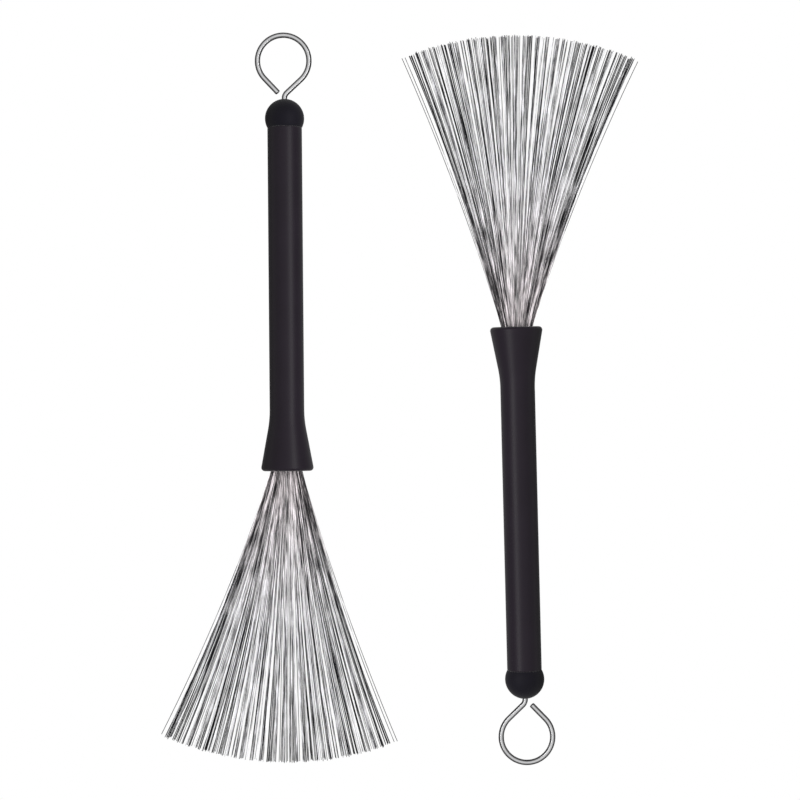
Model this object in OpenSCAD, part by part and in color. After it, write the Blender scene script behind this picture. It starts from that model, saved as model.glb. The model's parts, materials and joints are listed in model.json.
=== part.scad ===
// Pair of retractable wire drum brushes, lying flat side by side and pointing opposite ways.
// Each brush is a rubber handle over an aluminium tube. A steel rod with a hanging loop slides
// through the tube and carries a ferrule of wires that fan out in front of the handle.
//
// Millimetres. +Z is up and the table is z = 0. +Y is along the brushes.
// A brush's own frame has its origin at the centre of the handle's mouth, +Y towards the loop,
// +Z up and -X on the side of the loop's free end. The wires point along -Y.

/* [Layout] */
// Distance between the two mouths across the pair
mouths_apart = 101.8; // [96:0.1:120]
// Distance that the mouths stand apart along the brushes
mouths_offset = 64.2; // [40:0.2:80]
// Sideways place of the pair's middle
pair_x = 0.8; // [-1.5:0.1:1.5]
// Place of the pair's middle along the brushes
pair_y = 0.5; // [-1.5:0.1:1.5]
// Turn of the left brush about the vertical, degrees
left_yaw = 0.53; // [-1:0.01:1.5]
// Turn of the right brush about the vertical, degrees
right_yaw = 181.45; // [179:0.01:182]

/* [Handle] */
// Distance from the mouth to the centre of the ball
ball_y = 157.4; // [130:0.2:180]
// Diameter of the ball
ball_d = 17.5; // [16:0.1:20]
// Diameter of the straight grip
grip_d = 15.4; // [13.5:0.1:15.5]
// Diameter of the flare's cone if it ran sharp to the mouth
cone_d = 23.9; // [22:0.1:26]
// Half angle of the flare's cone, degrees
cone_angle = 10.5; // [9:0.5:13]
// Length over which the grip curves out into the cone
flare_blend_l = 9; // [6:0.5:14]
// Rounding of the rim
rim_round = 1.6; // [0.5:0.1:1.8]
// Radius inside the bell at the mouth
bell_r = 8.9; // [8.7:0.1:9.4]

/* [Tube] */
// Outer diameter of the aluminium tube
tube_d = 11.2; // [10.8:0.1:12]
// Bore of the aluminium tube
tube_bore_d = 9.6; // [9.4:0.1:9.8]
// Distance from the mouth to the tube's front end
tube_front_y = 9.2; // [8.8:0.1:9.6]
// Length of the rear bush inside the tube
bush_l = 8; // [6:1:20]
// Running clearance of sliding pieces, on the radius
running = 0.05; // [0.02:0.01:0.09]

/* [Rod and loop] */
// Diameter of the steel rod
rod_d = 2.4; // [2:0.1:2.8]
// Radius of the loop's centreline
loop_r = 11.5; // [9:0.1:13]
// Distance from the ball's pole to the loop's centre
loop_rise = 17.1; // [15.5:0.1:20]
// Sideways place of the loop's centre
loop_x = -0.4; // [-1:0.1:1]
// Radius of the bend where the rod leaves the handle
neck_bend_r = 3.4; // [2.5:0.1:4]
// Distance of the loop's free end from the rod, sideways
free_end_x = -2.8; // [-3.2:0.1:-2.1]
// Distance of the loop's free end from the ball's pole
free_end_rise = 2.8; // [1.8:0.1:4]

/* [Wires] */
// Diameter of one wire
wire_d = 0.25; // [0.2:0.01:0.25]
// Distance between wires where the ferrule grips them
wire_pitch = 0.3; // [0.3:0.005:0.31]
// Wires in each row, from one outer row to the other
row_counts = [15, 21, 25, 27, 27, 27, 25, 21, 15];
// Distance from the mouth to the front of the ferrule
wires_root_y = 10.4; // [10.2:0.1:11]
// Distance from the mouth to the middle tips
fan_l = 129.6; // [90:0.2:132]
// Radius of the arc that the tips are trimmed to
tip_arc_r = 137; // [132:0.5:200]
// Angle of the outermost wires from the middle, degrees
fan_angle = 20.75; // [10:0.05:20.9]
// Half the thickness of the fan at its tips
fan_half_t = 4.2; // [2:0.1:4.4]
// Lean of the fan towards the loop's free end, degrees
fan_lean = 2.35; // [0:0.05:3]

/* [Ferrule] */
// Diameter of the ferrule that slides in the tube
plug_d = 9; // [8.8:0.1:9.2]
// Length of the ferrule
plug_l = 13; // [13:1:22]
// Depth that each wire reaches into the ferrule
wire_grip_l = 0.8; // [0.4:0.1:0.8]
// Depth that the rod reaches into the ferrule
rod_grip_l = 5.5; // [4:0.5:6]
// Thickness of a friction ring's cord
ring_d = 1.6; // [1.2:0.1:1.8]

/* [Hidden] */
SIDES = ["left", "right"];
ROWS = [1:len(row_counts)];

$fn = 48;
skin = 0.01;                                    // overlap that makes a cut go right through

// Handle, measured along the brush from the mouth
ball_r = ball_d / 2;
grip_r = grip_d / 2;
cone_slope = tan(cone_angle);
cone_meets_grip_y = (cone_d / 2 - grip_r) / cone_slope;
blend_y = cone_meets_grip_y - flare_blend_l / 2;
rim_c_r = cone_d / 2 - rim_round * (cone_slope + 1 / cos(cone_angle));
pole_y = ball_y + ball_r;
seam_y = ball_y - 4.2;                          // where the grip ends on the ball
seam_round = 0.5;                               // rounding of the grip's rear edge
wiper_clearance = 0.1;                          // between the ball's hole and the rod
tube_rear_y = ball_y - 1.6;                     // the tube ends inside the ball
tube_r = tube_d / 2;
tube_bore_r = tube_bore_d / 2;
bush_rear_y = tube_rear_y;
bush_front_y = bush_rear_y - bush_l;
rod_r = rod_d / 2;
joint_gap = 0.1;                                // half the gap that a collar closes
collar_half_l = 0.25;
collar_r = rod_r + 0.06;                        // hardly thicker than the rod

// Ferrule and its rings
plug_r = plug_d / 2;
plug_front_y = wires_root_y;
plug_rear_y = plug_front_y + plug_l;
ring_seats = [plug_front_y + 8, plug_front_y + 11.2];
ring_r = ring_d / 2;
ring_centre_r = tube_bore_r - running - ring_r;
wire_seat = 0.04;                               // glue film around the wires in the ferrule

// Travel of the rod: the ferrule stops just short of the bush
stop_gap = 1;
travel = bush_front_y - plug_rear_y - stop_gap;

// Height of the axis over the table: the flared rim and the ball both touch it
rest_run = ball_y - rim_round;
rest_tilt = acos((ball_r - rim_round) / norm([rest_run, rim_c_r])) - atan2(rest_run, rim_c_r);
mouth_h = ball_r + ball_y * sin(rest_tilt);

// Neck bend and loop, in the brush's plane
bend_y = pole_y + 0.3;
bend_c = [neck_bend_r, bend_y];
loop_c = [loop_x, pole_y + loop_rise];
neck_run = loop_c - bend_c;
neck_turn = atan2(neck_run[0], neck_run[1]) + asin((neck_bend_r + loop_r) / norm(neck_run));
neck_end = bend_c + neck_bend_r * [-cos(neck_turn), sin(neck_turn)];
loop_start_dir = [cos(neck_turn), -sin(neck_turn)];
loop_start = loop_c + loop_r * loop_start_dir;
free_end = [free_end_x, pole_y + free_end_rise];
tail_run = loop_c - free_end;
tail_turn = atan2(tail_run[0], tail_run[1]) - asin(loop_r / norm(tail_run));
loop_end = loop_c + loop_r * [-cos(tail_turn), sin(tail_turn)];
loop_sweep = 180 + neck_turn - tail_turn;

// Wires: an even splay from the ferrule to the tips, leaning a little to one side
middle_row = (len(row_counts) + 1) / 2;
root_half_w = (max(row_counts) - 1) / 2 * wire_pitch;
root_half_t = (len(row_counts) - 1) / 2 * wire_pitch;
splay_w = tan(fan_angle) / root_half_w;
splay_t = (fan_half_t / root_half_t - 1) / (plug_front_y + fan_l);
lean = tan(fan_lean);
tip_arc_c = [(tip_arc_r - fan_l - plug_front_y) * lean, tip_arc_r - fan_l];

// Unit direction of a wire that starts at [x, z] on the front of the ferrule
function wire_dir(x, z) =
    let (run = [x * splay_w - lean, -1, z * splay_t]) run / norm(run);

// Length of that wire to where the trim arc cuts it
function wire_reach(x, z) =
    let (
        dir = wire_dir(x, z),
        run = [dir[0], dir[1]],
        from = [x, plug_front_y] - tip_arc_c,
        half = from * run / (run * run)
    )
    -half + sqrt(half * half + (tip_arc_r * tip_arc_r - from * from) / (run * run));

// Starting points of a row's wires
function row_roots(row) = [
    for (i = [0:row_counts[row - 1] - 1])
        [(i - (row_counts[row - 1] - 1) / 2) * wire_pitch, (row - middle_row) * wire_pitch]
];

// Puts a brush's own frame on the table
module place(side) {
    sign = side == "left" ? -1 : 1;
    translate([pair_x + sign * mouths_apart / 2, pair_y + sign * mouths_offset / 2, mouth_h])
        rotate([0, 0, side == "left" ? left_yaw : right_yaw])
            rotate([-rest_tilt, 0, 0])
                children();
}

// Turns a profile of [radius, distance from the mouth] about the brush's axis
module turned() {
    rotate([-90, 0, 0]) rotate_extrude($fn = 96) children();
}

// Round bar along the brush's axis
module bar(r, y0, y1) {
    translate([0, y0, 0]) rotate([-90, 0, 0]) cylinder(h = y1 - y0, r = r);
}

// Round bar between two points
module strut(a, b, r) {
    run = b - a;
    translate(a)
        rotate([0, acos(run[2] / norm(run)), atan2(run[1], run[0])])
            cylinder(h = norm(run), r = r);
}

// Straight stretch of the rod between two points of the brush's plane, short of both joints
module straight(a, b) {
    along = (b - a) / norm(b - a) * joint_gap;
    strut([a[0] + along[0], a[1] + along[1], 0], [b[0] - along[0], b[1] - along[1], 0], rod_r);
}

// Bent stretch of the rod: an arc in the brush's plane, short of both joints
module bend(centre, bend_r, from, sweep) {
    gap_angle = joint_gap / bend_r * 180 / PI;
    translate([centre[0], centre[1], 0])
        rotate([0, 0, from + gap_angle])
            rotate_extrude(angle = sweep - 2 * gap_angle, $fn = 96)
                translate([bend_r, 0]) circle(r = rod_r);
}

// Closes the joint between a straight and a bent stretch
module collar(at, run) {
    along = run / norm(run) * collar_half_l;
    strut([at[0] - along[0], at[1] - along[1], 0], [at[0] + along[0], at[1] + along[1], 0], collar_r);
}

module handle_tube() {
    color("silver")
        difference() {
            bar(tube_r, tube_front_y, tube_rear_y);
            bar(tube_bore_r, tube_front_y - skin, tube_rear_y + skin);
        }
}

// The outside of the flare: the round rim runs into the cone, and the cone curves into the grip
function rim_points() = [
    for (i = [0:7]) let (a = i / 7 * (90 + cone_angle))
        [rim_c_r + rim_round * sin(a), rim_round - rim_round * cos(a)]
];
function flare_blend_points() = [
    for (i = [0:8]) let (t = i / 8)
        [grip_r + cone_slope * flare_blend_l * pow(1 - t, 2) / 2, blend_y + flare_blend_l * t]
];
function seam_points() = [
    for (a = [0:30:90])
        [grip_r - seam_round + seam_round * cos(a), seam_y - seam_round + seam_round * sin(a)]
];

module grip_profile() {
    polygon(concat(
        [[bell_r, 0]],
        rim_points(),
        flare_blend_points(),
        seam_points(),
        [[tube_r, seam_y], [tube_r, tube_front_y], [tube_bore_r, tube_front_y]]
    ));
}

module grip_sleeve() {
    color([0.14, 0.13, 0.15]) turned() grip_profile();
}

module ball_end() {
    hole_r = rod_r + wiper_clearance;
    color([0.13, 0.13, 0.15])
        turned()
            difference() {
                translate([0, ball_y]) circle(r = ball_r, $fn = 96);
                translate([-2 * ball_r + hole_r, ball_y - 2 * ball_r]) square([2 * ball_r, 4 * ball_r]);
                translate([0, seam_y - 2 * ball_r]) square([2 * ball_r, 2 * ball_r]);
                translate([0, seam_y - skin]) square([tube_r, tube_rear_y - seam_y + skin]);
            }
}

module rear_bush() {
    color([0.85, 0.85, 0.82])
        difference() {
            bar(tube_bore_r, bush_front_y, bush_rear_y);
            bar(rod_r + running, bush_front_y - skin, bush_rear_y + skin);
        }
}

module pull_rod() {
    color([0.78, 0.79, 0.8]) {
        bar(rod_r, plug_rear_y - rod_grip_l, bend_y - joint_gap);
        collar([0, bend_y], [0, 1]);
        bend(bend_c, neck_bend_r, 180 - neck_turn, neck_turn);
        collar(neck_end, loop_start - neck_end);
        straight(neck_end, loop_start);
        collar(loop_start, loop_start - neck_end);
        bend(loop_c, loop_r, -neck_turn, loop_sweep);
        collar(loop_end, free_end - loop_end);
        straight(loop_end, free_end);
    }
}

module wire_plug() {
    color("goldenrod")
        difference() {
            bar(plug_r, plug_front_y, plug_rear_y);
            bar(rod_r, plug_rear_y - rod_grip_l, plug_rear_y + skin);
            wire_pocket();
            for (y = ring_seats)
                ring_groove(y);
        }
}

// Flat pocket that holds the ends of the wires
module wire_pocket() {
    w = 2 * root_half_w + wire_d + 2 * wire_seat;
    t = 2 * root_half_t + wire_d + 2 * wire_seat;
    translate([-w / 2, plug_front_y - skin, -t / 2]) cube([w, wire_grip_l + skin, t]);
}

module ring_groove(y) {
    groove_w = ring_d + 0.3;
    groove_r = ring_centre_r - ring_r;
    turned()
        translate([groove_r, y - groove_w / 2]) square([plug_r, groove_w]);
}

module friction_rings() {
    color([0.1, 0.1, 0.1])
        for (y = ring_seats)
            turned() translate([ring_centre_r, y]) circle(r = ring_r);
}

// One straight wire, from inside the ferrule to its tip
module wire(root) {
    leaves = [root[0], plug_front_y, root[1]];
    dir = wire_dir(root[0], root[1]);
    tip = leaves + dir * wire_reach(root[0], root[1]);
    strut(leaves - dir * wire_grip_l, tip, wire_d / 2, $fn = 24);
}

module wires_row(row) {
    color([0.7, 0.7, 0.71])
        for (root = row_roots(row))
            wire(root);
}

for (side = SIDES) {
    place(side) handle_tube();
    place(side) grip_sleeve();
    place(side) ball_end();
    place(side) rear_bush();
    place(side) pull_rod();
    place(side) wire_plug();
    place(side) friction_rings();
    for (row = ROWS)
        place(side) wires_row(row);
}
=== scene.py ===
"""The looks of a pair of retractable wire drum brushes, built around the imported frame.

Each brush has its own frame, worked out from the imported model: the origin at the centre of the
handle's mouth, y towards the loop, z up and x away from the loop's free end. Lengths are in metres.
"""
import json
import math
import random

import bmesh
import bpy
import numpy as np
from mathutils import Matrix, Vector

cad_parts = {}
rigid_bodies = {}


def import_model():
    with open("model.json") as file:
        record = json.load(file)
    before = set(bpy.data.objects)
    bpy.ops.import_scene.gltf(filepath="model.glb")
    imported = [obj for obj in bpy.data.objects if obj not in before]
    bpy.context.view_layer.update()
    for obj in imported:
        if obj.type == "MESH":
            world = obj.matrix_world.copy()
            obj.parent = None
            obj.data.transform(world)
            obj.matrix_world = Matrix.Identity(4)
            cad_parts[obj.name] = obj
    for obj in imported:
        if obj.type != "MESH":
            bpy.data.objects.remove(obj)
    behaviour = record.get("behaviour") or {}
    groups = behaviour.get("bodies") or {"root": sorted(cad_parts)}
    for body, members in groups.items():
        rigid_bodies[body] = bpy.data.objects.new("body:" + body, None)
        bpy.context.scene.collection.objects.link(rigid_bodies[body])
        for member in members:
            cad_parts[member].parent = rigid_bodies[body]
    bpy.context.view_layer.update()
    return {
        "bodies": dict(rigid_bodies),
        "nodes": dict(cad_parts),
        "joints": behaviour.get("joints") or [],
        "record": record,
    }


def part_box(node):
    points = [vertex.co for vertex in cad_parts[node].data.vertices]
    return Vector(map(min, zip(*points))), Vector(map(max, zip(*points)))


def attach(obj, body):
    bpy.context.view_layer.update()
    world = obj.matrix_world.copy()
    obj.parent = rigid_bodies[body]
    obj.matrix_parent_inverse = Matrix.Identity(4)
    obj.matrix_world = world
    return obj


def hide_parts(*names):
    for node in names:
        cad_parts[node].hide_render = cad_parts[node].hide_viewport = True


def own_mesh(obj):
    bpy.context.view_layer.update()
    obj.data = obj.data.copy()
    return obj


MM = 0.001
SIDES = ("left", "right")

# The grip and the ball, as the frame has them
GRIP_R = 7.7 * MM
CONE_R = 11.94 * MM
CONE_ANGLE = math.radians(10.5)
BLEND_L = 9 * MM
RIM_ROUND = 1.6 * MM
BELL_R = 8.9 * MM
BELL_ROUND = 0.5 * MM
SEAM_ROUND = 0.5 * MM
BALL_R = 8.75 * MM
BALL_HOLE_R = 1.3 * MM
TUBE_R = 5.6 * MM
TUBE_BORE_R = 4.8 * MM

# The rod and its loop, as the frame has them
ROD_R = 1.2 * MM
ROD_FRONT_Y = 17.9 * MM
NECK_BEND_R = 3.4 * MM
NECK_RISE = 0.3 * MM
LOOP_R = 11.5 * MM
LOOP_RISE = 17.1 * MM
LOOP_X = -0.4 * MM
FREE_END_X = -2.8 * MM
FREE_END_RISE = 2.8 * MM

# The fan. The tips are trimmed to an arc about a point behind the mouth
WIRE_R = 0.142 * MM
WIRE_SIDES = 6
WIRE_STEPS = 18
WIRE_COUNTS = (24, 33, 39, 42, 43, 42, 39, 33, 24)
ROOT_HALF_W = 3.9 * MM
ROOT_HALF_T = 1.2 * MM
TIP_ARC_R = 136.8 * MM
TIP_ARC_Y = 7.4 * MM
TIP_HALF_ANGLE = math.radians(22.6)
TIP_HALF_T = 3.2 * MM
TIP_LEAN = math.radians(2.1)
FAN_SEED = 7

# How one wire strays from a straight line, and how much shorter it can be
CURL = 0.22
BOW = 0.22 * MM
WAVE = 0.1 * MM
WAVE_ANGLE = 11
LIFT = 0.2 * MM
TRIM = 0.45 * MM

# The bundles the wires gather in, and the few wires that stray past the fan's edges
CLUMPS = 39
CLUMP_SIZES = (0.5, 1.5)
CLUMP_PULL = (0.4, 0.88)
EDGE_PULL = 0.3
LOOSE_SHARE = 0.14
WIRE_JITTER = (-0.4, 1.4)
ROOT_SCATTER = 0.02
TIP_SCATTER = 0.01
FAN_EDGES = (-0.962, 0.94)
STRAYS = ((-0.9, -1.0, 0.25), (0.87, 0.974, 0.3), (0.9, 1.0, 0.25))

# The wires' painted reflections and shade, as tones from 0 for dark to 1 for bright, how they change
# along the wires, and the painted bright and dark streaks that neighbouring wires share
DARK_SHARE = (0.25, 0.8)
DARK_IN_MIDDLE = 0.75
DARKER_AT_EDGE = 0.6
LOOSE_DARK_SHARE = 0.25
PAINTED_DARK_TONES = (-0.14, 0.16)
PAINTED_LIGHT_TONES = (0.34, 1.0)
DARK_BELOW = 0.3
ROOT_TONE = 0.47
ROOT_EVEN = 0.6
MIDDLE_LIFT = 0.3
TIP_DROP = 0.28
DARK_CHANGE = 0.5
STREAKS_ALONG = 12
STREAKS_ACROSS = 45
STREAK_ROW_STEP = 0.2
PAINTED_STREAK_TONES = (-1.23, 1.17)

# The studio
VIEW_WIDTH = 356.8 * MM
VIEW_LEVEL = 10 * MM
FLOOR_GREY = 0.09
SKY_LIGHT = ((0.0, 0.07), (0.5, 0.12), (0.78, 0.46), (1.0, 0.77))
STRIP_PLACE = (0.68, 0, 1.0)
STRIP_SIZE = (1.6, 0.34)
STRIP_POWER = 9
ROD_STRIP_SIZE = (1.6, 0.12)
ROD_STRIP_POWER = 1.8
FAN_LIGHT_PLACE = (0, 0, 1.6)
FAN_LIGHT_SIZE = (1.8, 5.0)
FAN_LIGHT_POWER = 65


class Brush:
    """One brush's own frame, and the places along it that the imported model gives."""

    def __init__(self, side, frame):
        self.side = side
        joint = next(j for j in frame["joints"] if j["name"] == f"{side}_rod_slide")
        self.y = Vector(joint["axis"]).normalized()
        self.x = self.y.cross(Vector((0, 0, 1))).normalized()
        self.z = self.x.cross(self.y)
        low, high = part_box(f"{side}_handle_tube")
        self.origin = (low + high) / 2
        self.origin = self.origin + self.y * self.reach(frame, "grip_sleeve")[0]
        self.seam_y = self.reach(frame, "grip_sleeve")[1]
        self.tube_front_y, self.tube_rear_y = self.reach(frame, "handle_tube")
        self.pole_y = self.reach(frame, "ball_end")[1]
        self.ferrule_y = self.reach(frame, "wire_plug")[0]

    def reach(self, frame, piece):
        """The lowest and highest place of a CAD node along the brush."""
        vertices = frame["nodes"][f"{self.side}_{piece}"].data.vertices
        along = [self.y.dot(v.co - self.origin) for v in vertices]
        return min(along), max(along)

    def place(self, x, y, z):
        return self.origin + self.x * x + self.y * y + self.z * z

    def rows(self):
        """The brush's axes as the rows of an array, for many points at a time."""
        return np.array([self.x, self.y, self.z])


# ---------------------------------------------------------------- materials


def new_material(name):
    material = bpy.data.materials.new(name)
    material.use_nodes = True
    shader = material.node_tree.nodes["Principled BSDF"]
    return material, material.node_tree, shader


def add(tree, kind, **values):
    node = tree.nodes.new(kind)
    for key, value in values.items():
        if key in node.inputs:
            node.inputs[key].default_value = value
        else:
            setattr(node, key, value)
    return node


def noise(tree, scale, detail, stretch=None):
    """A noise texture on the object's own coordinates, in features per metre."""
    coords = add(tree, "ShaderNodeTexCoord")
    texture = add(tree, "ShaderNodeTexNoise", Scale=scale, Detail=detail)
    source = coords.outputs["Object"]
    if stretch:
        mapping = add(tree, "ShaderNodeMapping", Scale=stretch)
        tree.links.new(source, mapping.inputs["Vector"])
        source = mapping.outputs["Vector"]
    tree.links.new(source, texture.inputs["Vector"])
    return texture.outputs["Fac"]


def ramp(tree, factor, stops):
    node = add(tree, "ShaderNodeValToRGB")
    while len(node.color_ramp.elements) < len(stops):
        node.color_ramp.elements.new(0.5)
    for element, (place, colour) in zip(node.color_ramp.elements, stops):
        element.position = place
        element.color = (*colour, 1)
    tree.links.new(factor, node.inputs["Fac"])
    return node.outputs["Color"]


def spread(tree, factor, low, high):
    """Maps a 0 to 1 factor to the range from low to high."""
    node = add(tree, "ShaderNodeMapRange")
    node.inputs["To Min"].default_value = low
    node.inputs["To Max"].default_value = high
    tree.links.new(factor, node.inputs["Value"])
    return node.outputs["Result"]


def bump(tree, shader, height, depth, strength=1.0):
    node = add(tree, "ShaderNodeBump", Strength=strength, Distance=depth)
    tree.links.new(height, node.inputs["Height"])
    tree.links.new(node.outputs["Normal"], shader.inputs["Normal"])


def rubber(name, dark, light, roughness, shine=0.2, haze=0.0):
    """Matte moulded rubber: a fine grain, with faint dull and shiny patches from handling."""
    material, tree, shader = new_material(name)
    patches = noise(tree, 60, 4)
    tree.links.new(ramp(tree, patches, [(0.35, dark), (0.7, light)]), shader.inputs["Base Color"])
    tree.links.new(spread(tree, patches, *roughness), shader.inputs["Roughness"])
    bump(tree, shader, noise(tree, 2600, 2), 0.03 * MM, 0.5)
    shader.inputs["Specular IOR Level"].default_value = shine
    shader.inputs["Sheen Weight"].default_value = haze
    shader.inputs["Sheen Roughness"].default_value = 0.5
    return material


def bright_steel(name):
    """Polished and plated wire, with faint drawing marks along it."""
    material, tree, shader = new_material(name)
    marks = noise(tree, 300, 3)
    tree.links.new(ramp(tree, marks, [(0.3, (0.76, 0.76, 0.77)), (0.7, (0.88, 0.88, 0.89))]),
                   shader.inputs["Base Color"])
    tree.links.new(spread(tree, marks, 0.15, 0.18), shader.inputs["Roughness"])
    bump(tree, shader, marks, 0.001 * MM, 0.2)
    shader.inputs["Metallic"].default_value = 1
    return material


def wire_steel(name):
    """Drawn spring steel, warmer near the handle: painted reflection and shade per wire, and in
    streaks that neighbours share.
    """
    material, tree, shader = new_material(name)
    # The point attribute carries each wire's painted reflection and shade
    attribute = add(tree, "ShaderNodeAttribute", attribute_name="wire_tone")
    parts = add(tree, "ShaderNodeSeparateXYZ")
    tree.links.new(attribute.outputs["Vector"], parts.inputs["Vector"])
    marks = noise(tree, 420, 4)
    lengthwise = add(tree, "ShaderNodeVectorMath", operation="MULTIPLY")
    tree.links.new(attribute.outputs["Vector"], lengthwise.inputs[0])
    lengthwise.inputs[1].default_value = (0, STREAKS_ALONG, 1)
    # Painted bright and dark streaks along the wires, shared by neighbours: painted reflections, not
    # the steel's colour
    glints = add(tree, "ShaderNodeTexNoise", Scale=1, Detail=3)
    tree.links.new(lengthwise.outputs["Vector"], glints.inputs["Vector"])
    streaks = spread(tree, glints.outputs["Fac"], *PAINTED_STREAK_TONES)
    tone = add(tree, "ShaderNodeMath", operation="ADD")
    tree.links.new(streaks, tone.inputs[0])
    tree.links.new(parts.outputs["X"], tone.inputs[1])
    steel = ramp(tree, tone.outputs[0], [
        (0.0, (0.012, 0.012, 0.014)), (0.25, (0.07, 0.07, 0.074)),
        (0.55, (0.42, 0.42, 0.43)), (0.95, (0.88, 0.88, 0.91))])
    tint = ramp(tree, parts.outputs["Y"], [(0.1, (1.0, 0.93, 0.92)), (0.6, (1.0, 0.995, 1.0))])
    tinted = add(tree, "ShaderNodeMix", data_type="RGBA", blend_type="MULTIPLY")
    tinted.inputs["Factor"].default_value = 1.0
    tree.links.new(steel, tinted.inputs[6])
    tree.links.new(tint, tinted.inputs[7])
    tree.links.new(tinted.outputs[2], shader.inputs["Base Color"])
    tree.links.new(spread(tree, marks, 0.45, 0.65), shader.inputs["Roughness"])
    shader.inputs["Metallic"].default_value = 1
    return material


def turned_metal(name, dark, light, roughness):
    """Turned or drawn metal with fine rings round the part."""
    material, tree, shader = new_material(name)
    rings = noise(tree, 300, 2, stretch=(0.3, 6, 0.3))
    tree.links.new(ramp(tree, rings, [(0.3, dark), (0.7, light)]), shader.inputs["Base Color"])
    tree.links.new(spread(tree, rings, *roughness), shader.inputs["Roughness"])
    bump(tree, shader, rings, 0.01 * MM, 0.4)
    shader.inputs["Metallic"].default_value = 1
    return material


def nylon(name):
    material, tree, shader = new_material(name)
    cloud = noise(tree, 150, 3)
    tree.links.new(ramp(tree, cloud, [(0.3, (0.62, 0.61, 0.56)), (0.7, (0.72, 0.71, 0.67))]),
                   shader.inputs["Base Color"])
    tree.links.new(spread(tree, cloud, 0.4, 0.55), shader.inputs["Roughness"])
    return material


def make_materials():
    return {
        "grip": rubber("grip_rubber", (0.016, 0.0105, 0.0185), (0.019, 0.0125, 0.022), (0.38, 0.44),
                       0.18, 0.35),
        "ball": rubber("ball_rubber", (0.0098, 0.0088, 0.0145), (0.012, 0.0105, 0.0175), (0.5, 0.6),
                       0.08, 0.24),
        "ring": rubber("ring_rubber", (0.012, 0.012, 0.012), (0.018, 0.018, 0.018), (0.3, 0.4)),
        "rod": bright_steel("rod_steel"),
        "wire": wire_steel("wire_steel"),
        "tube": turned_metal("tube_aluminium", (0.6, 0.61, 0.63), (0.75, 0.76, 0.78), (0.25, 0.4)),
        "ferrule": turned_metal("ferrule_brass", (0.5, 0.36, 0.16), (0.66, 0.5, 0.24), (0.22, 0.35)),
        "bush": nylon("bush_nylon"),
    }


# ---------------------------------------------------------------- mesh helpers


def make_piece(name, vertices, faces, material, sharp=math.radians(40)):
    """A mesh piece in the row frame, smooth except along its sharp edges."""
    mesh = bpy.data.meshes.new(name)
    mesh.from_pydata([tuple(v) for v in vertices], [], faces)
    work = bmesh.new()
    work.from_mesh(mesh)
    bmesh.ops.recalc_face_normals(work, faces=work.faces)
    for face in work.faces:
        face.smooth = True
    for edge in work.edges:
        edge.smooth = len(edge.link_faces) == 2 and edge.calc_face_angle(0) < sharp
    work.to_mesh(mesh)
    work.free()
    mesh.materials.append(material)
    piece = bpy.data.objects.new(name, mesh)
    bpy.context.scene.collection.objects.link(piece)
    return piece


def lathe(brush, name, profile, material, sides=96):
    """Turns a closed profile of (radius, place along the brush) about the brush's axis."""
    vertices, faces, count = [], [], len(profile)
    for i in range(sides):
        angle = 2 * math.pi * i / sides
        for radius, y in profile:
            vertices.append(brush.place(radius * math.cos(angle), y, radius * math.sin(angle)))
    for i in range(sides):
        here, there = i * count, (i + 1) % sides * count
        for k in range(count):
            after = (k + 1) % count
            faces.append((here + k, here + after, there + after, there + k))
    return make_piece(name, vertices, faces, material)


def arc(centre, radius, start, end, steps):
    """Points of an arc in a plane of the brush, with angles from the plane's first axis."""
    return [
        (centre[0] + radius * math.cos(start + (end - start) * i / steps),
         centre[1] + radius * math.sin(start + (end - start) * i / steps))
        for i in range(steps + 1)
    ]


# ---------------------------------------------------------------- pieces


def grip_profile(brush):
    """From the bell's root over the rim, along the cone and the grip, and back inside."""
    slope = math.tan(CONE_ANGLE)
    rim_r = CONE_R - RIM_ROUND * (slope + 1 / math.cos(CONE_ANGLE))
    meets = (CONE_R - GRIP_R) / slope
    blend_y = meets - BLEND_L / 2
    bell_angle = math.atan2(BELL_R - TUBE_BORE_R, brush.tube_front_y)
    inner = arc((BELL_R + BELL_ROUND, BELL_ROUND), BELL_ROUND, math.pi + bell_angle,
                1.5 * math.pi, 6)
    rim = arc((rim_r, RIM_ROUND), RIM_ROUND, -math.pi / 2, CONE_ANGLE, 16)
    blend = [(GRIP_R + slope * BLEND_L * (1 - t) ** 2 / 2, blend_y + BLEND_L * t)
             for t in np.linspace(0, 1, 13)]
    straight_y = np.linspace(blend_y + BLEND_L, brush.seam_y - SEAM_ROUND, 25)
    grip = [(GRIP_R, y) for y in straight_y[1:-1]]
    seam = arc((GRIP_R - SEAM_ROUND, brush.seam_y - SEAM_ROUND), SEAM_ROUND, 0, math.pi / 2, 6)
    inside = [(TUBE_R, brush.seam_y), (TUBE_R, brush.tube_front_y)]
    return [(TUBE_BORE_R, brush.tube_front_y)] + inner + rim + blend + grip + seam + inside


def ball_profile(brush):
    """From the seam over the ball to the rod's hole, and back along the tube's rear end."""
    centre_y = brush.pole_y - BALL_R
    start = math.asin((brush.seam_y - centre_y) / BALL_R)
    lip = 0.35 * MM
    end = math.acos((BALL_HOLE_R + lip) / BALL_R)
    outside = arc((0, centre_y), BALL_R, start, end, 40)
    lip_centre = (BALL_HOLE_R + lip, outside[-1][1] - lip)
    hole = arc(lip_centre, lip, math.pi / 2, math.pi, 5)
    return outside + hole + [
        (BALL_HOLE_R, brush.tube_rear_y), (TUBE_R, brush.tube_rear_y), (TUBE_R, brush.seam_y)]


def bend(centre, radius, start, end, step=0.7 * MM):
    """Points of a bend of the rod, close enough together for a round look."""
    return arc(centre, radius, start, end, max(3, math.ceil(abs(end - start) * radius / step)))


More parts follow.
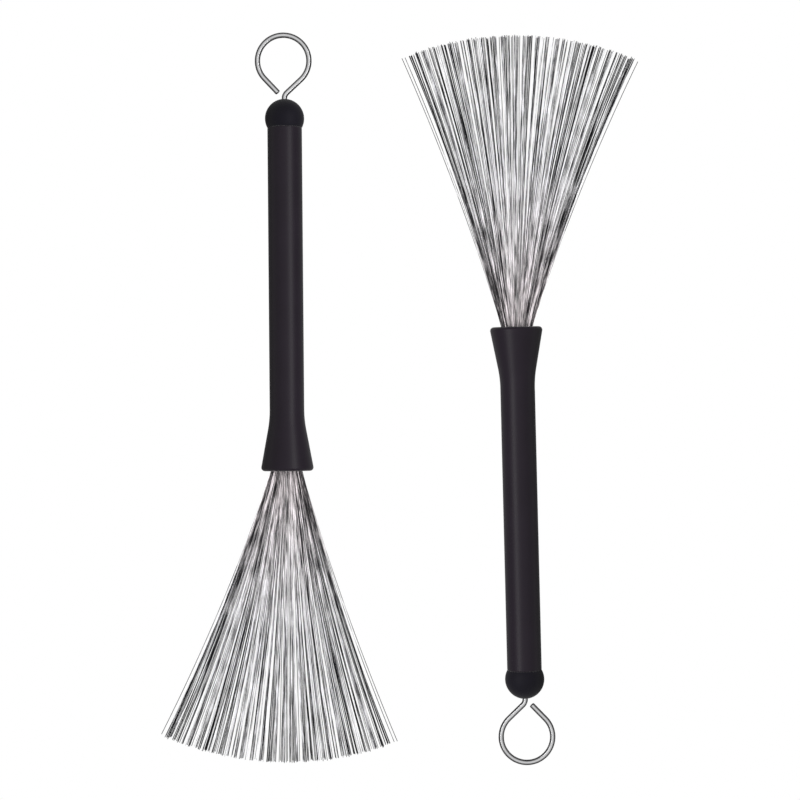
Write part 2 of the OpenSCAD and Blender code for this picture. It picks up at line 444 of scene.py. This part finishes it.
def rod_path(brush):
    """The rod's centreline: straight through the handle, a bend, and the open loop."""
    bend_c = (NECK_BEND_R, brush.pole_y + NECK_RISE)
    loop_c = (LOOP_X, brush.pole_y + LOOP_RISE)
    free_end = (FREE_END_X, brush.pole_y + FREE_END_RISE)
    dx, dy = loop_c[0] - bend_c[0], loop_c[1] - bend_c[1]
    neck = math.atan2(dx, dy) + math.asin((NECK_BEND_R + LOOP_R) / math.hypot(dx, dy))
    dx, dy = loop_c[0] - free_end[0], loop_c[1] - free_end[1]
    tail = math.atan2(dx, dy) - math.asin(LOOP_R / math.hypot(dx, dy))
    path = [(0, ROD_FRONT_Y), (0, brush.pole_y - 2 * MM)]
    path += bend(bend_c, NECK_BEND_R, math.pi, math.pi - neck)
    path += bend(loop_c, LOOP_R, -neck, math.pi - tail)
    path.append(free_end)
    return path


def rod_piece(brush, material, sides=28):
    """Sweeps a round section along the rod's path, with both cut ends chamfered."""
    path = [Vector((x, y)) for x, y in rod_path(brush)]
    chamfer = 0.25 * MM
    first = (path[1] - path[0]).normalized()
    last = (path[-1] - path[-2]).normalized()
    stations = [(path[0], ROD_R - chamfer), (path[0] + first * chamfer, ROD_R)]
    stations += [(p, ROD_R) for p in path[1:-1]]
    stations += [(path[-1] - last * chamfer, ROD_R), (path[-1], ROD_R - chamfer)]
    vertices, faces = [], []
    for i, (point, radius) in enumerate(stations):
        before = stations[max(i - 1, 0)][0]
        after = stations[min(i + 1, len(stations) - 1)][0]
        along = (after - before).normalized()
        across = (-along.y, along.x)
        for k in range(sides):
            angle = 2 * math.pi * k / sides
            side, up = radius * math.cos(angle), radius * math.sin(angle)
            vertices.append(brush.place(point.x + across[0] * side, point.y + across[1] * side, up))
    for i in range(len(stations) - 1):
        for k in range(sides):
            here, after = i * sides + k, i * sides + (k + 1) % sides
            faces.append((here, after, after + sides, here + sides))
    faces.append(tuple(range(sides)))
    faces.append(tuple(len(vertices) - sides + k for k in range(sides)))
    return make_piece(f"{brush.side}_rod_and_loop", vertices, faces, material)


def make_clumps(rng):
    """The bundles: each one's ends across the fan from -1 to 1, its pull, and the ends of its part in
    painted shade.
    """
    edges = [-1.0]
    for i in range(CLUMPS):
        edges.append(edges[-1] + rng.uniform(*CLUMP_SIZES))
    stretch = 2 / (edges[-1] + 1)
    edges = [(edge + 1) * stretch - 1 for edge in edges]
    clumps = []
    for i, (low, high) in enumerate(zip(edges, edges[1:])):
        share = rng.uniform(*DARK_SHARE) * (DARK_IN_MIDDLE + DARKER_AT_EDGE * low ** 2)
        pull = rng.uniform(*CLUMP_PULL) * (EDGE_PULL if i in (0, CLUMPS - 1) else 1)
        dark_low = low if rng.random() < 0.5 else high - share * (high - low)
        clumps.append((low, high, pull, dark_low, dark_low + share * (high - low)))
    return clumps


def fan_places(row, clumps, rng):
    """Where a row's wires leave the ferrule and where they end, from -1 to 1, and their tones of
    painted reflection and shade.
    """
    count = WIRE_COUNTS[row]
    left_edge, right_edge = FAN_EDGES
    places = []
    for i in range(count):
        even = (2 * i + rng.uniform(*WIRE_JITTER)) / (count - 0.5) - 1
        clump = next((c for c in clumps if even <= c[1]), clumps[-1])
        low, high, pull, dark_low, dark_high = clump
        dark = dark_low <= even <= dark_high
        if rng.random() < LOOSE_SHARE:
            pull, dark = 0, rng.random() < LOOSE_DARK_SHARE
        gathered = even + ((low + high) / 2 - even) * pull
        share = (gathered + rng.gauss(0, TIP_SCATTER) + 1) / 2
        tip = left_edge + (right_edge - left_edge) * max(0, min(1, share))
        # Dark wires get painted shade, and bright wires a painted reflection of the lit surroundings
        tone = rng.uniform(*PAINTED_DARK_TONES) if dark else rng.uniform(*PAINTED_LIGHT_TONES)
        places.append((gathered + rng.gauss(0, ROOT_SCATTER), tip, tone))
    if count == max(WIRE_COUNTS):
        places[0], places[-2], places[-1] = STRAYS
    return places


def wire_path(brush, level, root, tip, rng):
    """One wire's centreline in the brush's own frame: it curls outward a little to its tip."""
    angle = TIP_HALF_ANGLE * tip - TIP_LEAN
    trim = TIP_ARC_R - abs(rng.gauss(0, TRIM))
    start = (ROOT_HALF_W * root, brush.ferrule_y, ROOT_HALF_T * level)
    end = (trim * math.sin(angle), TIP_ARC_Y - trim * math.cos(angle), TIP_HALF_T * level)
    inside = FAN_EDGES[0] <= tip <= FAN_EDGES[1]
    bow = rng.gauss(0, BOW) if inside else 0
    wave = rng.gauss(0, WAVE) if inside else 0
    lift = rng.gauss(0, LIFT)
    phase = rng.uniform(0, 2 * math.pi)
    s = np.linspace(0, 1, WIRE_STEPS + 1)
    curled = s - CURL * s * (1 - s)
    arch = 4 * s * (1 - s)
    sideways = bow * arch + wave * s * np.sin(phase + WAVE_ANGLE * s)
    return np.stack([
        start[0] + (end[0] - start[0]) * curled + sideways,
        start[1] + (end[1] - start[1]) * s,
        start[2] + (end[2] - start[2]) * s + lift * arch,
    ], axis=1)


def tubes(paths, radius, sides):
    """Round tubes along many paths, as one list of vertices and faces."""
    vertices, faces = [], []
    angles = np.arange(sides) * 2 * np.pi / sides
    for path in paths:
        along = np.gradient(path, axis=0)
        along /= np.linalg.norm(along, axis=1)[:, None]
        across = np.cross(along, (0.0, 0.0, 1.0))
        across /= np.linalg.norm(across, axis=1)[:, None]
        up = np.cross(across, along)
        ring = (across[:, None] * np.cos(angles)[None, :, None]
                + up[:, None] * np.sin(angles)[None, :, None]) * radius
        base = len(vertices)
        vertices.extend((path[:, None] + ring).reshape(-1, 3))
        for i in range(len(path) - 1):
            for k in range(sides):
                here = base + i * sides + k
                after = base + i * sides + (k + 1) % sides
                faces.append((here, after, after + sides, here + sides))
        faces.append(tuple(base + k for k in range(sides)))
        faces.append(tuple(base + (len(path) - 1) * sides + k for k in range(sides)))
    return np.array(vertices), faces


def painted_light_along(tone, along):
    """A wire's painted reflection and shade at each place along it: even at the root, a painted
    highlight midway, darker at the tip.
    """
    middle, tip = along * (1 - along), along ** 3
    evened = tone + (ROOT_TONE - tone) * ROOT_EVEN * (1 - along) ** 2
    extra = (tone < DARK_BELOW) * DARK_CHANGE * (middle - tip)
    return evened + MIDDLE_LIFT * middle - TIP_DROP * tip + extra


def wire_row(brush, row, clumps, material, rng):
    """One row of wires. Its points keep their tone of painted light and shade, the distance along the
    wire and a streak place.
    """
    middle = (len(WIRE_COUNTS) - 1) / 2
    places = fan_places(row, clumps, rng)
    paths = [wire_path(brush, (row - middle) / middle, root, tip, rng) for root, tip, tone in places]
    vertices, faces = tubes(paths, WIRE_R, WIRE_SIDES)
    placed = vertices @ brush.rows() + np.array(brush.origin)
    piece = make_piece(f"{brush.side}_wire_fan_{row + 1}", placed, faces, material)
    per_wire = (WIRE_STEPS + 1) * WIRE_SIDES
    # The tone stored on the points is painted reflection and shade
    tone = np.repeat([tone for root, tip, tone in places], per_wire)
    along = np.tile(np.repeat(np.linspace(0, 1, WIRE_STEPS + 1), WIRE_SIDES), len(places))
    streak = np.repeat([tip * STREAKS_ACROSS + row * STREAK_ROW_STEP for root, tip, tone in places],
                       per_wire)
    values = np.stack([painted_light_along(tone, along), along, streak], axis=1).astype(np.float32)
    attribute = piece.data.attributes.new("wire_tone", "FLOAT_VECTOR", "POINT")
    attribute.data.foreach_set("vector", values.ravel())
    return piece


def build_brush(brush, frame, materials):
    """The visible pieces in place of their CAD nodes, and new materials for the nodes that stay."""
    side = brush.side
    handle, rod = f"{side}_handle", f"{side}_rod"
    grip = lathe(brush, f"{side}_rubber_grip", grip_profile(brush), materials["grip"])
    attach(grip, handle)
    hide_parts(f"{side}_grip_sleeve")
    ball = lathe(brush, f"{side}_rubber_ball", ball_profile(brush), materials["ball"])
    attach(ball, handle)
    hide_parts(f"{side}_ball_end")
    loop = rod_piece(brush, materials["rod"])
    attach(loop, rod)
    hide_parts(f"{side}_pull_rod")
    rng = random.Random(FAN_SEED)
    clumps = make_clumps(rng)
    for row in range(len(WIRE_COUNTS)):
        wires = wire_row(brush, row, clumps, materials["wire"], rng)
        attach(wires, rod)
        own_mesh(wires)
        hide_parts(f"{side}_wires_row_{row + 1}")
    kept = {"handle_tube": "tube", "rear_bush": "bush", "wire_plug": "ferrule",
            "friction_rings": "ring"}
    for node, finish in kept.items():
        mesh = frame["nodes"][f"{side}_{node}"].data
        mesh.materials.clear()
        mesh.materials.append(materials[finish])


# ---------------------------------------------------------------- stage


def make_floor():
    """A ground with no shadow on it: white to the camera, and grey to the pieces."""
    bpy.ops.mesh.primitive_plane_add(size=6, location=(0, 0, 0))
    floor = bpy.context.object
    floor.name = "floor"
    material, tree, shader = new_material("floor_white")
    shader.inputs["Base Color"].default_value = (FLOOR_GREY, FLOOR_GREY, FLOOR_GREY, 1)
    shader.inputs["Roughness"].default_value = 0.9
    shader.inputs["Specular IOR Level"].default_value = 0.1
    glow = add(tree, "ShaderNodeEmission", Color=(1, 1, 1, 1), Strength=1.0)
    both = add(tree, "ShaderNodeMixShader")
    path = add(tree, "ShaderNodeLightPath")
    tree.links.new(path.outputs["Is Camera Ray"], both.inputs["Fac"])
    tree.links.new(shader.outputs["BSDF"], both.inputs[1])
    tree.links.new(glow.outputs["Emission"], both.inputs[2])
    tree.links.new(both.outputs["Shader"], tree.nodes["Material Output"].inputs["Surface"])
    floor.data.materials.append(material)


def make_light(name, place, size, power, lit):
    """A soft lamp aimed at the middle of the pair, which only the pieces in lit receive."""
    light = bpy.data.lights.new(name, "AREA")
    light.shape = "RECTANGLE"
    light.size, light.size_y = size
    light.energy = power
    holder = bpy.data.objects.new(name, light)
    holder.location = place
    holder.rotation_euler = (-Vector(place)).to_track_quat("-Z", "Y").to_euler()
    bpy.context.scene.collection.objects.link(holder)
    holder.light_linking.receiver_collection = lit


def make_world():
    """A soft white dome, brightest overhead. The camera sees plain white behind the floor."""
    world = bpy.data.worlds.new("studio")
    bpy.context.scene.world = world
    world.use_nodes = True
    tree = world.node_tree
    coords = add(tree, "ShaderNodeTexCoord")
    parts = add(tree, "ShaderNodeSeparateXYZ")
    tree.links.new(coords.outputs["Generated"], parts.inputs["Vector"])
    dome = ramp(tree, parts.outputs["Z"], [(up, (grey, grey, grey)) for up, grey in SKY_LIGHT])
    path = add(tree, "ShaderNodeLightPath")
    seen = add(tree, "ShaderNodeMix", data_type="RGBA")
    tree.links.new(path.outputs["Is Camera Ray"], seen.inputs["Factor"])
    tree.links.new(dome, seen.inputs[6])
    seen.inputs[7].default_value = (1, 1, 1, 1)
    tree.links.new(seen.outputs[2], tree.nodes["Background"].inputs["Color"])


def collect(name, text, but_not="floor"):
    """A collection of the pieces with one text in their names and without another."""
    lit = bpy.data.collections.new(name)
    for piece in bpy.context.scene.objects:
        if piece.type == "MESH" and text in piece.name and but_not not in piece.name:
            lit.objects.link(piece)
    return lit


def make_lights():
    """A strip beside each brush, a narrower one for its bright rod, and a softbox for the wires."""
    across, along, up = STRIP_PLACE
    for side, place in (("left", (across, along, up)), ("right", (-across, along, up))):
        make_light(f"{side}_strip", place, STRIP_SIZE, STRIP_POWER,
                   collect(f"{side}_pieces", side, but_not="_rod_and_loop"))
        make_light(f"{side}_rod_strip", place, ROD_STRIP_SIZE, ROD_STRIP_POWER,
                   collect(f"{side}_rod_only", f"{side}_rod_and_loop"))
    make_light("fan_softbox", FAN_LIGHT_PLACE, FAN_LIGHT_SIZE, FAN_LIGHT_POWER,
               collect("fans", "_wire_fan_"))


def make_camera():
    """Straight down over the pair, through a long lens that sees one width at the brushes."""
    data = bpy.data.cameras.new("camera")
    data.lens = 100
    data.sensor_width = 36
    camera = bpy.data.objects.new("camera", data)
    camera.location = (0, 0, VIEW_WIDTH * data.lens / data.sensor_width + VIEW_LEVEL)
    bpy.context.scene.collection.objects.link(camera)
    bpy.context.scene.camera = camera


def main():
    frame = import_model()
    materials = make_materials()
    for side in SIDES:
        build_brush(Brush(side, frame), frame, materials)
    make_floor()
    make_world()
    make_lights()
    make_camera()
    bpy.context.scene.view_settings.view_transform = "Standard"


main()
